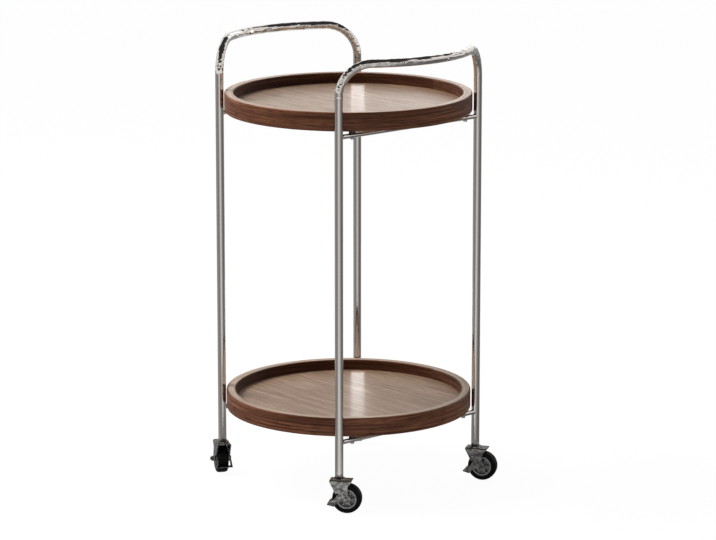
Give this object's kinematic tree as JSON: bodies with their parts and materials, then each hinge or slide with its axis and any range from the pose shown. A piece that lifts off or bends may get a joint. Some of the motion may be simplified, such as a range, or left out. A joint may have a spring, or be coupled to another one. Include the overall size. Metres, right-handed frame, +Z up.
{
  "type": "rolling side table",
  "caption": "Round two-tier side table with walnut trays hung between bent chromed tube hoops, on swivel casters with toe brakes.",
  "frame": {"origin": "on the floor, under the centre that both trays share", "axes": "+Z up; +X towards one hoop and -X towards the other; Y along the straight cross rails, with -Y the side the picture's front leg is on"},
  "size_m": [0.4518, 0.42, 0.7635],
  "materials": {
    "chrome_tube": "polished chromium plate",
    "walnut_rim": "walnut veneer on bent plywood, clear satin lacquer",
    "walnut_floor": "walnut veneer, clear satin lacquer",
    "black_rubber": "matt",
    "black_plastic": "matt",
    "zinc_steel": "bright zinc plate",
    "caster_steel": "dark nickel plate, satin",
    "grey_plastic": "moulded, satin",
    "black_tyre": "moulded, matt"
  },
  "bodies": {
    "frame": {"hoop_left": "chrome_tube", "hoop_right": "chrome_tube", "rail_upper_left": "chrome_tube", "rail_upper_right": "chrome_tube", "rail_lower_left": "chrome_tube", "rail_lower_right": "chrome_tube", "rim_upper": "walnut_rim", "rim_lower": "walnut_rim", "panel_upper": "walnut_floor", "panel_lower": "walnut_floor", "tray_pads": "black_rubber", "tray_screws": "zinc_steel", "leg_plugs": "black_plastic", "stem_front": "zinc_steel", "stem_right": "zinc_steel", "stem_back": "zinc_steel", "stem_left": "zinc_steel", "race_front": "caster_steel", "race_right": "caster_steel", "race_back": "caster_steel", "race_left": "caster_steel", "balls_front": "zinc_steel", "balls_right": "zinc_steel", "balls_back": "zinc_steel", "balls_left": "zinc_steel"},
    "swivel_front": {"fork_front": "caster_steel", "sleeve_front": "zinc_steel", "axle_bolt_front": "zinc_steel", "axle_nut_front": "zinc_steel", "rivets_front": "zinc_steel"},
    "wheel_front": {"core_front": "grey_plastic", "tyre_front": "black_tyre"},
    "lever_front": {"brake_front": "caster_steel"},
    "swivel_right": {"fork_right": "caster_steel", "sleeve_right": "zinc_steel", "axle_bolt_right": "zinc_steel", "axle_nut_right": "zinc_steel", "rivets_right": "zinc_steel"},
    "wheel_right": {"core_right": "grey_plastic", "tyre_right": "black_tyre"},
    "lever_right": {"brake_right": "caster_steel"},
    "swivel_back": {"fork_back": "caster_steel", "sleeve_back": "zinc_steel", "axle_bolt_back": "zinc_steel", "axle_nut_back": "zinc_steel", "rivets_back": "zinc_steel"},
    "wheel_back": {"core_back": "grey_plastic", "tyre_back": "black_tyre"},
    "lever_back": {"brake_back": "caster_steel"},
    "swivel_left": {"fork_left": "caster_steel", "sleeve_left": "zinc_steel", "axle_bolt_left": "zinc_steel", "axle_nut_left": "zinc_steel", "rivets_left": "zinc_steel"},
    "wheel_left": {"core_left": "grey_plastic", "tyre_left": "black_tyre"},
    "lever_left": {"brake_left": "caster_steel"}
  },
  "joints": [
    {"name": "swivel_front", "type": "hinge", "parent": "frame", "child": "swivel_front", "pos_m": [0.15486, -0.15486, 0.0572], "axis": [0, 0, 1], "continuous": true},
    {"name": "roll_front", "type": "hinge", "parent": "swivel_front", "child": "wheel_front", "pos_m": [0.1652, -0.14618, 0.025], "axis": [-0.6428, 0.766, 0], "continuous": true},
    {"name": "brake_front", "type": "hinge", "parent": "swivel_front", "child": "lever_front", "pos_m": [0.15677, -0.15325, 0.028], "axis": [-0.6428, 0.766, 0], "range_deg": [0, 28]},
    {"name": "swivel_right", "type": "hinge", "parent": "frame", "child": "swivel_right", "pos_m": [0.15486, 0.15486, 0.0572], "axis": [0, 0, 1], "continuous": true},
    {"name": "roll_right", "type": "hinge", "parent": "swivel_right", "child": "wheel_right", "pos_m": [0.16618, 0.16221, 0.025], "axis": [-0.5446, 0.8387, 0], "continuous": true},
    {"name": "brake_right", "type": "hinge", "parent": "swivel_right", "child": "lever_right", "pos_m": [0.15695, 0.15622, 0.028], "axis": [-0.5446, 0.8387, 0], "range_deg": [0, 28]},
    {"name": "swivel_back", "type": "hinge", "parent": "frame", "child": "swivel_back", "pos_m": [-0.15486, 0.15486, 0.0572], "axis": [0, 0, 1], "continuous": true},
    {"name": "roll_back", "type": "hinge", "parent": "swivel_back", "child": "wheel_back", "pos_m": [-0.16504, 0.16371, 0.025], "axis": [-0.6561, -0.7547, 0], "continuous": true},
    {"name": "brake_back", "type": "hinge", "parent": "swivel_back", "child": "lever_back", "pos_m": [-0.15674, 0.1565, 0.028], "axis": [-0.6561, -0.7547, 0], "range_deg": [0, 28]},
    {"name": "swivel_left", "type": "hinge", "parent": "frame", "child": "swivel_left", "pos_m": [-0.15486, -0.15486, 0.0572], "axis": [0, 0, 1], "continuous": true},
    {"name": "roll_left", "type": "hinge", "parent": "swivel_left", "child": "wheel_left", "pos_m": [-0.16689, -0.14873, 0.025], "axis": [-0.454, -0.891, 0], "continuous": true},
    {"name": "brake_left", "type": "hinge", "parent": "swivel_left", "child": "lever_left", "pos_m": [-0.15708, -0.15372, 0.028], "axis": [-0.454, -0.891, 0], "range_deg": [0, 28]}
  ]
}
